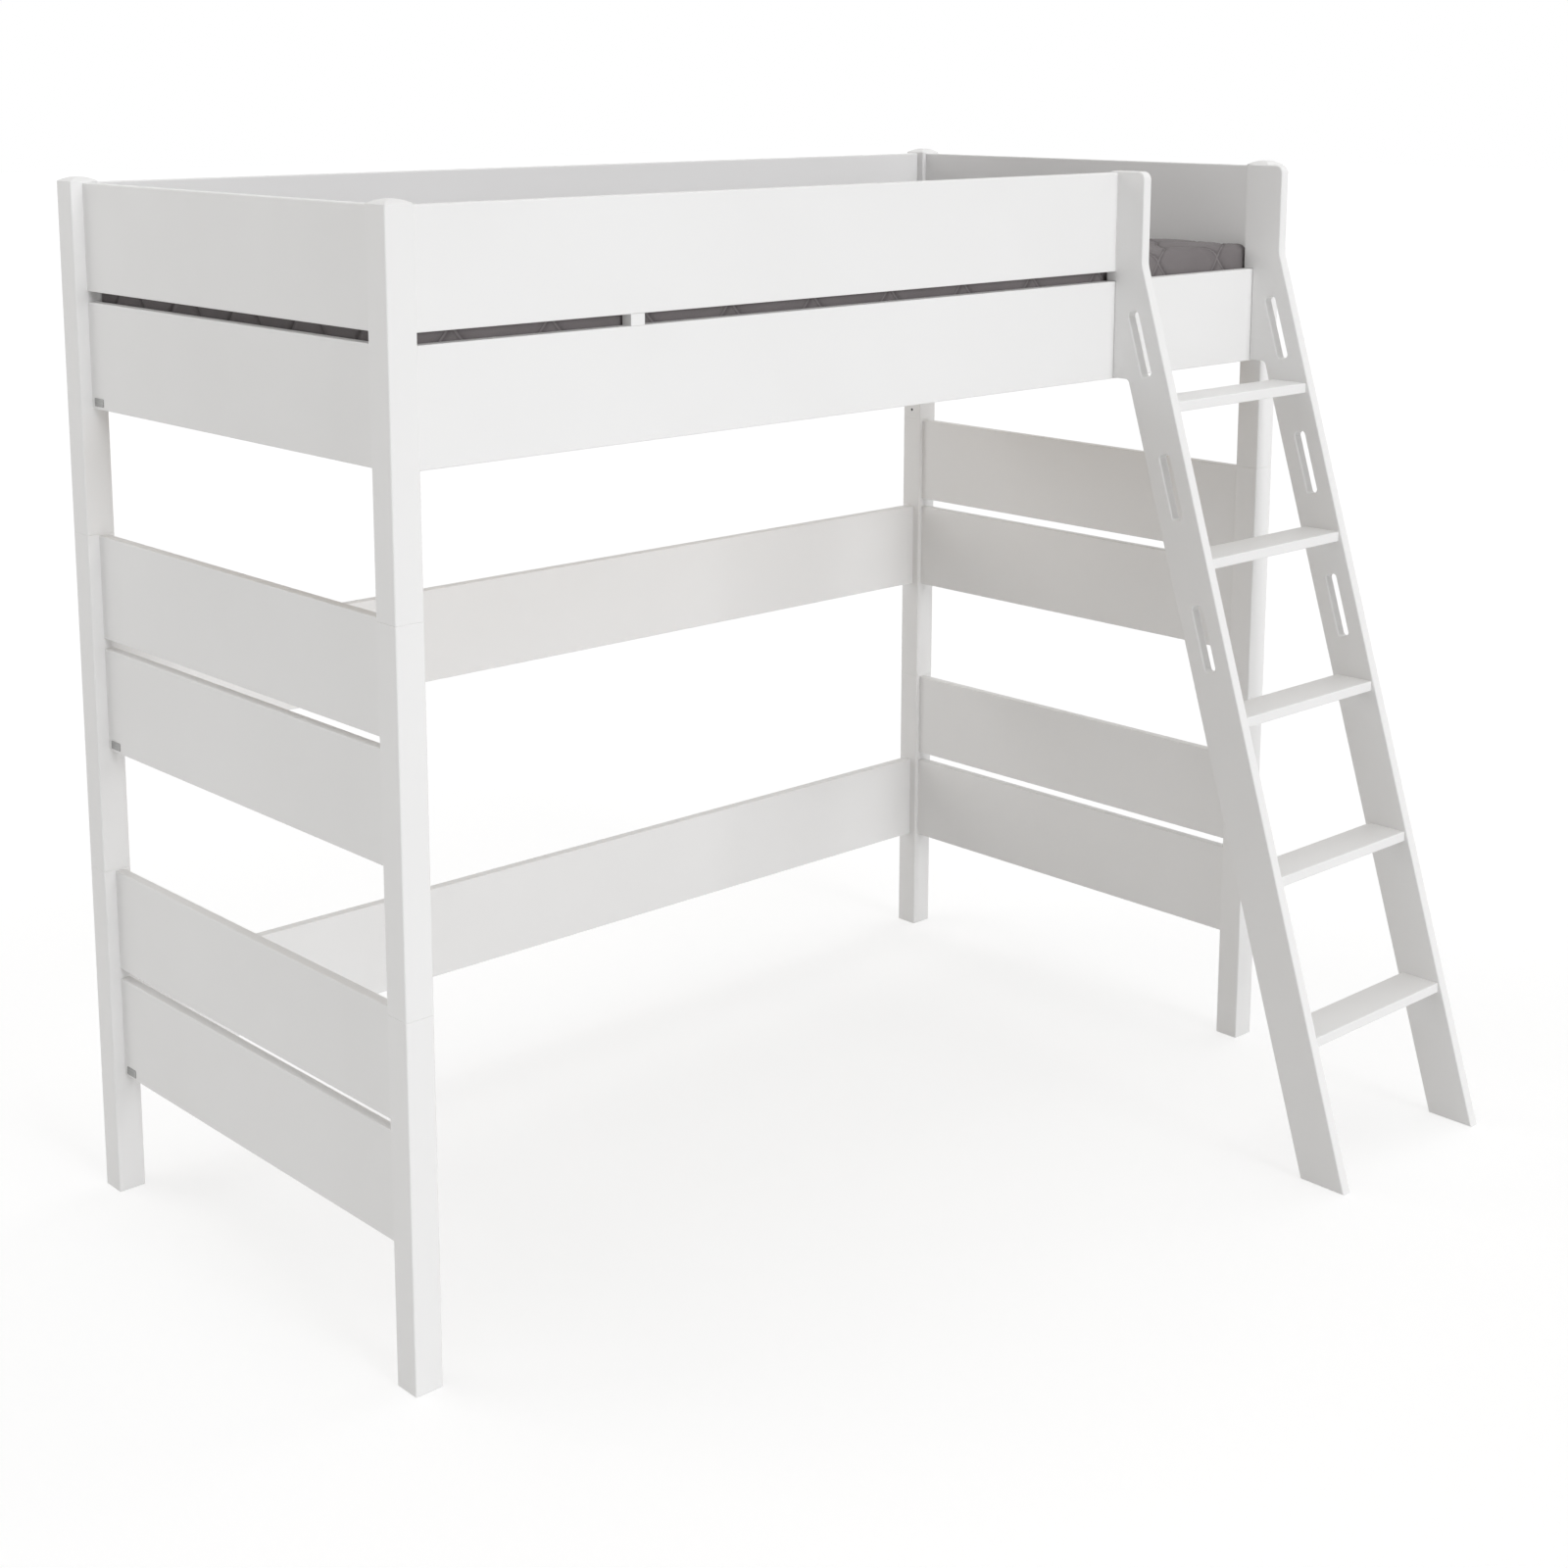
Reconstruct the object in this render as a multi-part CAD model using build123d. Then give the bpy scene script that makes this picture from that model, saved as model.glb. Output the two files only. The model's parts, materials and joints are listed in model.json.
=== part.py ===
from build123d import *
import os
from math import asin, cos, radians, sin, sqrt, tan

# Loft bed, in millimetres. X runs along the bed, +X to the ladder end. -Y is the front, where the
# ladder stands. Z = 0 is the floor. The origin is the middle of the whole footprint, ladder included.

# Mattress, and the room that the bed leaves around it
MATTRESS_LENGTH = 2000.0
MATTRESS_WIDTH = 900.0
MATTRESS_THICKNESS = 150.0      # at the middle of its crown
MATTRESS_CROWN = 8.0            # rise of the top from its seam to the middle
MATTRESS_CROWN_RUN = 190.0      # how far in from the seam the crown rises
MATTRESS_SEAM_INSET = 13.0      # top and bottom seams, in from the widest line of the border
MATTRESS_ROUND_INSET = 4.0      # start of the border's rounding, in from the widest line
MATTRESS_ROUND_HEIGHT = 9.0     # height of that line above the bottom seam, and below the top seam
MATTRESS_SIDE_DRAW = 2.5        # how far the sides draw in between the corners
MATTRESS_END_GAP = 5.0
MATTRESS_SIDE_GAP = 3.0
MATTRESS_POST_GAP = 5.0         # from the rounded corners to the posts
SOFT_GAP = 0.3                  # between the mattress and the slats

# Posts: square, in three equal lengths that stand on each other
POST = 50.0
SEGMENT_HEIGHT = 597.0
POST_ROUND = 2.5
SEAM_ROUND = 1.0
DOME_RISE = 7.5
DOME_RINGS = 6

# Boards: each length of the bed has a lower and an upper board
BOARD_HEIGHT = 180.0
BOARD_GAP = 18.0
BOARD_FOOT = 216.5              # from the foot of a post length to its lower board
BOARD_ROUND = 2.0
END_BOARD = 19.0                # thickness
END_RECESS = 21.0               # outer face behind the posts' outer face
SIDE_BOARD = 21.0               # thickness
SIDE_RECESS = 12.0

# Spacer blocks in the gap between a side rail and its guard
SPACER_WIDTH = 27.0
SPACER_OFFSET = 412.5           # from a post's inner face to the middle of the block

# Ladder
LADDER_WIDTH = 440.0            # over the stringers
STRINGER = 21.0                 # thickness
STRINGER_WIDTH = 88.0           # across the slanted part
STRINGER_SLANT = 17.5           # degrees from upright
HEAD_REACH = 49.0               # front of the upright head, before the posts' front face
HEAD_RISE = 3.0                 # top of the head above the guard
KINK_RISE = 33.5                # start of the slant on the front edge, above the rail
HEAD_DROP = 2.0                 # underside of the head, above the rail's lower edge
HEAD_FRONT_ROUND = 15.0
HEAD_BACK_ROUND = 9.0
KINK_ROUND = 45.0
HEAD_INNER_ROUND = 10.0
STRINGER_ROUND = 2.5
TREADS = 5
TREAD = 19.0                    # thickness
TREAD_DEPTH = 78.0
TREAD_PITCH = 279.0
TREAD_FIRST = 262.5             # top of the lowest tread
TREAD_SETBACK = 4.5             # front of a tread behind the stringers' front edge
TREAD_ROUND = 2.0
SLOT_HEIGHTS = (955.5, 1224.5, 1479.5)
SLOT_LENGTH = 122.0
SLOT_WIDTH = 22.5
SLOT_CORNER = 7.0

# Slatted base
SLATS = 14
SLAT = 18.0                     # thickness
SLAT_WIDTH = 70.0
SLAT_GAP = 4.0                  # from the slat ends to the rails
SLAT_END = 10.0                 # first slat from the posts
SLAT_ROUND = 3.0
SLAT_RISE = 80.5                # top of the slats above the rails' lower edge
LEDGE_WIDTH = 22.0
LEDGE_HEIGHT = 40.0
LEDGE_GAP = 2.0                 # from the ledge ends to the posts
STRAP = 1.5                     # thickness
STRAP_WIDTH = 30.0
STRAP_INSET = 60.0              # from the ledges to the straps

# Fasteners
FIT = 0.1                       # radial clearance of a fastener in its hole
END_FIT = 1.0                   # room at the blind end of a hole
CUT_START = 1.0                 # where a sunk head's bore starts, outside the surface
DOWEL = 8.0                     # diameter
DOWEL_INSET = 60.0              # from a board's edge to its dowels
DOWEL_IN_POST = 17.0
DOWEL_IN_BOARD = 25.0
DOWEL_IN_STRINGER = 13.0
DOWEL_IN_SPACED_BOARD = 20.0
TREAD_DOWEL_SPREAD = 40.0
DOWEL_CHAMFER = 0.8
PIN = 12.0                      # diameter
PIN_LENGTH = 100.0
LOCK_SCREW = 6.0                # diameter
LOCK_SCREW_RISE = 20.0          # above the seam
LOCK_SCREW_SINK = 0.5           # below the post's face
STUD = 8.0                      # diameter
STUD_INSET = 45.0               # from a board's edge to its studs
STUD_IN_POST = 30.0
NUT = 12.0                      # diameter of a barrel nut
NUT_LENGTH = 16.0
NUT_OFFSET = 35.0               # from the board's end
NUT_SINK = 0.5                  # below the board's face
STUD_PAST_NUT = 4.0
DRIVE_SLOT = 1.6                # width and depth of a screwdriver slot
LADDER_BOLT = 8.0               # diameter
LADDER_BOLT_HEAD = 14.0
LADDER_BOLT_HEAD_HEIGHT = 4.5
LADDER_BOLT_DROPS = (22.0, 62.0)  # below the rail's upper edge
LADDER_BOLT_GRIP = 16.0         # length in the sleeve
SLEEVE = 11.0                   # diameter
SLEEVE_LENGTH = 18.0
HEX_DRIVE = 4.0                 # across the flats
HEX_DEPTH = 2.5
SCREW = 4.0                     # diameter
SCREW_HEAD = 8.0
SCREW_HEAD_HEIGHT = 3.0
SCREW_BITE = 14.0               # length in the second piece
SCREW_SINK = 0.3                # below the surface
LEDGE_SCREWS = 6
LEDGE_SCREW_END = 100.0         # first screw from the ledge's end

# Bare plates on the left end's lower boards
PLATE_WIDTH = 30.0
PLATE_HEIGHT = 14.0
PLATE = 1.0                     # thickness
PLATE_CORNER = 2.0
PLATE_FROM_POST = 9.5
PLATE_FROM_EDGE = 5.0

# Places that follow from the sizes
end_depth = END_RECESS + END_BOARD
side_depth = SIDE_RECESS + SIDE_BOARD
half_length = MATTRESS_LENGTH / 2 + MATTRESS_END_GAP + end_depth
bed_width = MATTRESS_WIDTH + 2 * (MATTRESS_SIDE_GAP + side_depth)
post_inner_x = half_length - POST
segment_feet = (0.0, SEGMENT_HEIGHT, 2 * SEGMENT_HEIGHT)
rail_bottom = segment_feet[2] + BOARD_FOOT
rail_top = rail_bottom + BOARD_HEIGHT
guard_bottom = rail_top + BOARD_GAP
guard_top = guard_bottom + BOARD_HEIGHT
slat_top = rail_bottom + SLAT_RISE
slat_bottom = slat_top - SLAT
kink_z = rail_top + KINK_RISE
lean = tan(radians(STRINGER_SLANT))
ladder_reach = HEAD_REACH + kink_z * lean
front_y = ladder_reach - (bed_width + ladder_reach) / 2
back_y = front_y + bed_width
rail_front_y = front_y + SIDE_RECESS
rail_inner_y = front_y + side_depth
back_rail_inner_y = back_y - side_depth
side_mid = SIDE_RECESS + SIDE_BOARD / 2
end_mid = END_RECESS + END_BOARD / 2
ladder_right_x = post_inner_x
ladder_left_x = ladder_right_x - LADDER_WIDTH
tread_left_x = ladder_left_x + STRINGER
tread_right_x = ladder_right_x - STRINGER
slant_run = STRINGER_WIDTH / cos(radians(STRINGER_SLANT))
tread_tops = [TREAD_FIRST + step * TREAD_PITCH for step in range(TREADS)]

SIDES = {"front": 1, "back": -1}
ENDS = {"left": -1, "right": 1}
LEVELS = ("lower", "middle", "upper")
nodes = {}


def block(x_limits, y_limits, z_limits):
    """Box between pairs of limits."""
    low = Vector(x_limits[0], y_limits[0], z_limits[0])
    high = Vector(x_limits[1], y_limits[1], z_limits[1])
    size = high - low
    return Pos((low + high) / 2) * Box(size.X, size.Y, size.Z)


def rod(start, direction, diameter, length):
    """Round bar from a start point along a direction."""
    return extrude(Plane(origin=start, z_dir=direction) * Circle(diameter / 2), length)


def dowel(start, direction, diameter, length):
    """Round bar with both ends chamfered."""
    bar = rod(start, direction, diameter, length)
    return chamfer(bar.edges().filter_by(GeomType.CIRCLE), DOWEL_CHAMFER)


def hole(start, direction, diameter, length):
    """Bore for a bar of this size, with its radial clearance and room at both ends."""
    axis = Vector(direction).normalized()
    return rod(Vector(start) - axis * END_FIT, axis, diameter + 2 * FIT, length + 2 * END_FIT)


def overlap(a, b):
    """True where two bounding boxes share some room."""
    return all(
        low < other_high and other_low < high
        for low, high, other_low, other_high in zip(
            tuple(a.min), tuple(a.max), tuple(b.min), tuple(b.max)
        )
    )


def drilled(piece, bores):
    """Piece with every bore cut that reaches into it."""
    room = piece.bounding_box()
    near = [bore for bore in bores if overlap(room, bore.bounding_box())]
    return piece - near if near else piece


def outer_y(side, depth):
    """Y of a plane at some depth behind the posts' front or back face."""
    return front_y + depth if side == "front" else back_y - depth


def outer_x(end, depth):
    """X of a plane at some depth behind the posts' outer face at an end."""
    return ENDS[end] * (half_length - depth)


def limits(a, b):
    """Pair of limits in rising order."""
    return (min(a, b), max(a, b))


# Dowels from the end boards into the posts
bores = []
panel_dowels = []
for end in ENDS:
    for foot in segment_feet:
        for board_foot in (foot + BOARD_FOOT, foot + BOARD_FOOT + BOARD_HEIGHT + BOARD_GAP):
            for side, inward in SIDES.items():
                for rise in (DOWEL_INSET, BOARD_HEIGHT - DOWEL_INSET):
                    start = (outer_x(end, end_mid), outer_y(side, POST - DOWEL_IN_POST), board_foot + rise)
                    length = DOWEL_IN_POST + DOWEL_IN_BOARD
                    panel_dowels.append(dowel(start, (0, inward, 0), DOWEL, length))
                    bores.append(hole(start, (0, inward, 0), DOWEL, length))
nodes["end_board_dowels"] = Compound(children=panel_dowels)

# Pins between the stacked post lengths, and the screws that lock them in the back posts
pins = []
lock_screws = []
for seam in segment_feet[1:]:
    for end, outward in ENDS.items():
        for side in SIDES:
            middle_x = outer_x(end, POST / 2)
            middle_y = outer_y(side, POST / 2)
            foot = (middle_x, middle_y, seam - PIN_LENGTH / 2)
            pins.append(dowel(foot, (0, 0, 1), PIN, PIN_LENGTH))
            bores.append(hole(foot, (0, 0, 1), PIN, PIN_LENGTH))
            if side == "back" and seam == segment_feet[-1]:
                tip_x = middle_x - outward * (PIN / 2 + FIT)
                length = POST / 2 - PIN / 2 - FIT - LOCK_SCREW_SINK
                tip = (tip_x, middle_y, seam + LOCK_SCREW_RISE)
                screw = rod(tip, (-outward, 0, 0), LOCK_SCREW, length)
                head = Plane(
                    origin=(tip_x - outward * length, middle_y, seam + LOCK_SCREW_RISE),
                    x_dir=(0, 1, 0),
                    z_dir=(outward, 0, 0),
                )
                socket = extrude(head * RegularPolygon(HEX_DRIVE / 2, 6, major_radius=False), HEX_DEPTH)
                lock_screws.append(screw - socket)
                bores.append(hole(tip, (-outward, 0, 0), LOCK_SCREW, length))
nodes["post_pins"] = Compound(children=pins)
nodes["post_lock_screws"] = Compound(children=lock_screws)


def side_stud(side, end, z):
    """Stud from a post into a side board's end, the barrel nut behind it, and the bores for both."""
    inward = -ENDS[end]
    y = outer_y(side, side_mid)
    start = (outer_x(end, POST - STUD_IN_POST), y, z)
    length = STUD_IN_POST + NUT_OFFSET + STUD_PAST_NUT + NUT / 2
    stud = dowel(start, (inward, 0, 0), STUD, length)
    stud_bore = hole(start, (inward, 0, 0), STUD, length)
    board_face = Vector(outer_x(end, POST + NUT_OFFSET), y + SIDE_BOARD / 2, z)
    nut_face = board_face - Vector(0, NUT_SINK, 0)
    nut = rod(nut_face, (0, -1, 0), NUT, NUT_LENGTH)
    slot = Pos(nut_face) * Box(NUT, 2 * DRIVE_SLOT, DRIVE_SLOT)
    mouth = board_face + Vector(0, CUT_START, 0)
    nut_bore = rod(mouth, (0, -1, 0), NUT + 2 * FIT, CUT_START + NUT_SINK + NUT_LENGTH)
    return stud, nut - stud_bore - slot, [stud_bore, nut_bore]


# Side boards: rails and guards at the top, and two boards across the back lower down
middle_bottom = segment_feet[1] + BOARD_FOOT
lower_bottom = segment_feet[0] + BOARD_FOOT
side_boards = {
    "front_rail": ("front", rail_bottom, ladder_right_x),
    "front_guard": ("front", guard_bottom, ladder_left_x),
    "back_rail": ("back", rail_bottom, post_inner_x),
    "back_guard": ("back", guard_bottom, post_inner_x),
    "back_middle_board": ("back", middle_bottom, post_inner_x),
    "back_lower_board": ("back", lower_bottom, post_inner_x),
}
studs = []
nuts = []
for side, bottom, right_x in side_boards.values():
    for end in ENDS:
        if end == "right" and right_x < post_inner_x:
            continue
        for rise in (STUD_INSET, BOARD_HEIGHT - STUD_INSET):
            stud, nut, stud_bores = side_stud(side, end, bottom + rise)
            studs.append(stud)
            nuts.append(nut)
            bores.extend(stud_bores)
nodes["side_board_studs"] = Compound(children=studs)
nodes["barrel_nuts"] = Compound(children=nuts)

# Dowels that hold the guard's end to the ladder head, and the spacer blocks between guards and rails
guard_dowels = []
for rise in (DOWEL_INSET, BOARD_HEIGHT - DOWEL_INSET):
    start = (ladder_left_x + DOWEL_IN_STRINGER, outer_y("front", side_mid), guard_bottom + rise)
    length = DOWEL_IN_STRINGER + DOWEL_IN_BOARD
    guard_dowels.append(dowel(start, (-1, 0, 0), DOWEL, length))
    bores.append(hole(start, (-1, 0, 0), DOWEL, length))
spacers = {
    "guard_spacer_front": ("front", SPACER_OFFSET - post_inner_x),
    "guard_spacer_back_left": ("back", SPACER_OFFSET - post_inner_x),
    "guard_spacer_back_right": ("back", post_inner_x - SPACER_OFFSET),
}
for side, x in spacers.values():
    start = (x, outer_y(side, side_mid), rail_top - DOWEL_IN_SPACED_BOARD)
    length = BOARD_GAP + 2 * DOWEL_IN_SPACED_BOARD
    guard_dowels.append(dowel(start, (0, 0, 1), DOWEL, length))
    bores.append(hole(start, (0, 0, 1), DOWEL, length))
nodes["guard_dowels"] = Compound(children=guard_dowels)


def ladder_front_y(z):
    """Y of the stringers' front edge on the slant."""
    return front_y - HEAD_REACH - (kink_z - z) * lean


# Bolts from inside the rail into threaded sleeves in the ladder heads
ladder_bolts = []
sleeves = []
for x in (ladder_left_x + STRINGER / 2, ladder_right_x - STRINGER / 2):
    for drop in LADDER_BOLT_DROPS:
        z = rail_top - drop
        head_plane = Plane(origin=(x, rail_inner_y, z), x_dir=(1, 0, 0), z_dir=(0, -1, 0))
        head = extrude(head_plane * Circle(LADDER_BOLT_HEAD / 2), LADDER_BOLT_HEAD_HEIGHT)
        socket = extrude(head_plane * RegularPolygon(HEX_DRIVE / 2, 6, major_radius=False), HEX_DEPTH)
        shank_length = SIDE_BOARD - LADDER_BOLT_HEAD_HEIGHT + LADDER_BOLT_GRIP
        shank_start = (x, rail_inner_y - LADDER_BOLT_HEAD_HEIGHT, z)
        shank = rod(shank_start, (0, -1, 0), LADDER_BOLT, shank_length)
        ladder_bolts.append(head + shank - socket)
        bores.append(rod(shank_start, (0, -1, 0), LADDER_BOLT + 2 * FIT, shank_length + END_FIT))
        head_mouth = (x, rail_inner_y + CUT_START, z)
        head_depth = CUT_START + LADDER_BOLT_HEAD_HEIGHT
        bores.append(rod(head_mouth, (0, -1, 0), LADDER_BOLT_HEAD + 2 * FIT, head_depth))
        sleeve_start = (x, rail_front_y, z)
        sleeve = rod(sleeve_start, (0, -1, 0), SLEEVE, SLEEVE_LENGTH)
        sleeves.append(sleeve - rod(sleeve_start, (0, -1, 0), LADDER_BOLT + 2 * FIT, SLEEVE_LENGTH))
        bores.append(rod(sleeve_start, (0, -1, 0), SLEEVE + 2 * FIT, SLEEVE_LENGTH + END_FIT))
nodes["ladder_bolts"] = Compound(children=ladder_bolts)
nodes["ladder_sleeves"] = Compound(children=sleeves)

# Dowels from the treads into the stringers
tread_dowels = []
for top in tread_tops:
    tread_mid_y = ladder_front_y(top) + TREAD_SETBACK + TREAD_DEPTH / 2
    for x, inward in ((tread_left_x, 1), (tread_right_x, -1)):
        for shift in (-TREAD_DOWEL_SPREAD / 2, TREAD_DOWEL_SPREAD / 2):
            start = (x - inward * DOWEL_IN_STRINGER, tread_mid_y + shift, top - TREAD / 2)
            length = DOWEL_IN_STRINGER + DOWEL_IN_BOARD
            tread_dowels.append(dowel(start, (inward, 0, 0), DOWEL, length))
            bores.append(hole(start, (inward, 0, 0), DOWEL, length))
nodes["tread_dowels"] = Compound(children=tread_dowels)


def wood_screw(point, direction, grip):
    """Countersunk screw, its head under the surface at a point, and the matching bore."""
    axis = Vector(direction).normalized()
    plane = Plane(origin=Vector(point) + axis * SCREW_SINK, z_dir=axis)
    cone_place = plane.location * Pos(0, 0, SCREW_HEAD_HEIGHT / 2)
    head = cone_place * Cone(SCREW_HEAD / 2, SCREW / 2, SCREW_HEAD_HEIGHT)
    length = grip + SCREW_BITE - SCREW_SINK
    shank = extrude(plane * Circle(SCREW / 2), length)
    drive = plane.location * Box(DRIVE_SLOT, DRIVE_SLOT, 2 * DRIVE_SLOT)
    screw = head + shank - drive
    lead = rod(point, -axis, SCREW_HEAD + 2 * FIT, CUT_START)
    mouth = rod(point, axis, SCREW_HEAD + 2 * FIT, SCREW_SINK)
    wide = cone_place * Cone(SCREW_HEAD / 2 + FIT, SCREW / 2 + FIT, SCREW_HEAD_HEIGHT)
    way = extrude(plane * Circle(SCREW / 2 + FIT), length + END_FIT)
    return screw, lead + mouth + wide + way


# Screws from the ledges into the rails, and from the slats into the ledges
ledge_half = post_inner_x - LEDGE_GAP
ledge_mid_z = slat_bottom - LEDGE_HEIGHT / 2
ledge_screws = []
slat_screws = []
slat_step = (2 * (post_inner_x - SLAT_END) - SLAT_WIDTH) / (SLATS - 1)
slat_places = [SLAT_WIDTH / 2 + SLAT_END - post_inner_x + number * slat_step for number in range(SLATS)]
screw_step = 2 * (ledge_half - LEDGE_SCREW_END) / (LEDGE_SCREWS - 1)
for side, inward in SIDES.items():
    ledge_face_y = outer_y(side, side_depth + LEDGE_WIDTH)
    for number in range(LEDGE_SCREWS):
        point = (LEDGE_SCREW_END - ledge_half + number * screw_step, ledge_face_y, ledge_mid_z)
        screw, bore = wood_screw(point, (0, -inward, 0), LEDGE_WIDTH)
        ledge_screws.append(screw)
        bores.append(bore)
    for x in slat_places:
        point = (x, outer_y(side, side_depth + (SLAT_GAP + LEDGE_WIDTH) / 2), slat_top)
        screw, bore = wood_screw(point, (0, 0, -1), SLAT)
        slat_screws.append(screw)
        bores.append(bore)
nodes["ledge_screws"] = Compound(children=ledge_screws)
nodes["slat_screws"] = Compound(children=slat_screws)


def dome():
    """Low domed cap for a post, with level eaves: rounded squares that shrink along an arc."""
    arc_radius = ((POST / 2) ** 2 + DOME_RISE**2) / (2 * DOME_RISE)
    eaves_turn = asin(POST / 2 / arc_radius)
    sections = []
    for ring in range(DOME_RINGS):
        turn = eaves_turn * (1 - ring / DOME_RINGS)
        width = 2 * arc_radius * sin(turn)
        rise = DOME_RISE - arc_radius * (1 - cos(turn))
        sections.append(Pos(0, 0, rise) * RectangleRounded(width, width, POST_ROUND * width / POST))
    return loft(sections, ruled=True)


def post_length(end, side, foot, domed):
    """One length of a post, with its seam edges softened, or with a dome at its upper end."""
    body = extrude(RectangleRounded(POST, POST, POST_ROUND), SEGMENT_HEIGHT)
    ends = body.faces().filter_by(Axis.Z).sort_by(Axis.Z)
    softened = ends[:1] if domed else ends
    body = fillet([edge for face in softened for edge in face.edges()], SEAM_ROUND)
    if domed:
        body += Pos(0, 0, SEGMENT_HEIGHT) * dome()
    return Pos(outer_x(end, POST / 2), outer_y(side, POST / 2), foot) * body


for end in ENDS:
    for side in SIDES:
        for level, foot in zip(LEVELS, segment_feet):
            piece = post_length(end, side, foot, level == LEVELS[-1])
            nodes[f"post_{side}_{end}_{level}"] = drilled(piece, bores)

# End boards between the posts
for end in ENDS:
    for level, foot in zip(LEVELS, segment_feet):
        for place, bottom in (
            ("bottom", foot + BOARD_FOOT),
            ("top", foot + BOARD_FOOT + BOARD_HEIGHT + BOARD_GAP),
        ):
            board = block(
                limits(outer_x(end, END_RECESS), outer_x(end, end_depth)),
                (outer_y("front", POST), outer_y("back", POST)),
                (bottom, bottom + BOARD_HEIGHT),
            )
            board = fillet(board.edges().filter_by(Axis.Y), BOARD_ROUND)
            nodes[f"end_board_{end}_{level}_{place}"] = drilled(board, bores)

# Side boards and their spacer blocks
for name, (side, bottom, right_x) in side_boards.items():
    board = block(
        (-post_inner_x, right_x),
        limits(outer_y(side, SIDE_RECESS), outer_y(side, side_depth)),
        (bottom, bottom + BOARD_HEIGHT),
    )
    board = fillet(board.edges().filter_by(Axis.X), BOARD_ROUND)
    nodes[name] = drilled(board, bores)
for name, (side, x) in spacers.items():
    spacer = block(
        (x - SPACER_WIDTH / 2, x + SPACER_WIDTH / 2),
        limits(outer_y(side, SIDE_RECESS), outer_y(side, side_depth)),
        (rail_top, guard_bottom),
    )
    nodes[name] = drilled(spacer, bores)


def stringer(left_x):
    """Ladder side: upright head hooked over the rail, slanted leg cut flat at the floor, grip slots."""
    head_front = front_y - HEAD_REACH
    head_top = guard_top + HEAD_RISE
    head_bottom = rail_bottom + HEAD_DROP
    corners = [
        ((rail_inner_y, rail_top), 0.0),
        ((rail_inner_y, head_top), HEAD_BACK_ROUND),
        ((head_front, head_top), HEAD_FRONT_ROUND),
        ((head_front, kink_z), KINK_ROUND),
        ((ladder_front_y(0), 0.0), 0.0),
        ((ladder_front_y(0) + slant_run, 0.0), 0.0),
        ((ladder_front_y(head_bottom) + slant_run, head_bottom), HEAD_INNER_ROUND),
        ((rail_front_y, head_bottom), 0.0),
        ((rail_front_y, rail_top), 0.0),
    ]
    points = [point for point, radius in corners]
    radii = [radius for point, radius in corners]
    outline = make_face(FilletPolyline(*points, radius=radii, close=True))
    slot = RectangleRounded(SLOT_WIDTH, SLOT_LENGTH, SLOT_CORNER, -STRINGER_SLANT)
    grips = [Pos(ladder_front_y(z) + slant_run / 2, z) * slot for z in SLOT_HEIGHTS]
    face_plane = Plane(origin=(left_x, 0, 0), x_dir=(0, 1, 0), z_dir=(1, 0, 0))
    side = extrude(face_plane * (outline - grips), STRINGER)
    rims = [edge for face in side.faces().filter_by(Axis.X) for edge in face.edges()]
    return fillet(rims, STRINGER_ROUND)


nodes["ladder_stringer_left"] = drilled(stringer(ladder_left_x), bores)
nodes["ladder_stringer_right"] = drilled(stringer(tread_right_x), bores)
for number, top in enumerate(tread_tops, start=1):
    tread_front = ladder_front_y(top) + TREAD_SETBACK
    tread = block((tread_left_x, tread_right_x), (tread_front, tread_front + TREAD_DEPTH), (top - TREAD, top))
    tread = fillet(tread.edges().filter_by(Axis.X), TREAD_ROUND)
    nodes[f"ladder_tread_{number}"] = drilled(tread, bores)

# Slatted base
for side in SIDES:
    ledge = block(
        (-ledge_half, ledge_half),
        limits(outer_y(side, side_depth), outer_y(side, side_depth + LEDGE_WIDTH)),
        (slat_bottom - LEDGE_HEIGHT, slat_bottom),
    )
    nodes[f"slat_ledge_{side}"] = drilled(ledge, bores)
slats = []
for x in slat_places:
    slat = block(
        (x - SLAT_WIDTH / 2, x + SLAT_WIDTH / 2),
        (rail_inner_y + SLAT_GAP, back_rail_inner_y - SLAT_GAP),
        (slat_bottom, slat_top),
    )
    slats.append(drilled(fillet(slat.edges().filter_by(Axis.Y), SLAT_ROUND), bores))
nodes["slats"] = Compound(children=slats)
straps = []
for side in SIDES:
    strap_depth = side_depth + LEDGE_WIDTH + STRAP_INSET
    straps.append(
        block(
            (SLAT_END - post_inner_x, post_inner_x - SLAT_END),
            limits(outer_y(side, strap_depth), outer_y(side, strap_depth + STRAP_WIDTH)),
            (slat_bottom - STRAP, slat_bottom),
        )
    )
nodes["slat_straps"] = Compound(children=straps)


def mattress_corner():
    """Corner radius that clears the posts, which stand into the corners of the bed."""
    into_end = POST - end_depth - MATTRESS_END_GAP
    into_side = POST - side_depth - MATTRESS_SIDE_GAP
    reach = into_end + into_side + MATTRESS_POST_GAP
    return reach + sqrt(reach**2 - into_end**2 - into_side**2 + MATTRESS_POST_GAP**2)


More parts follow.
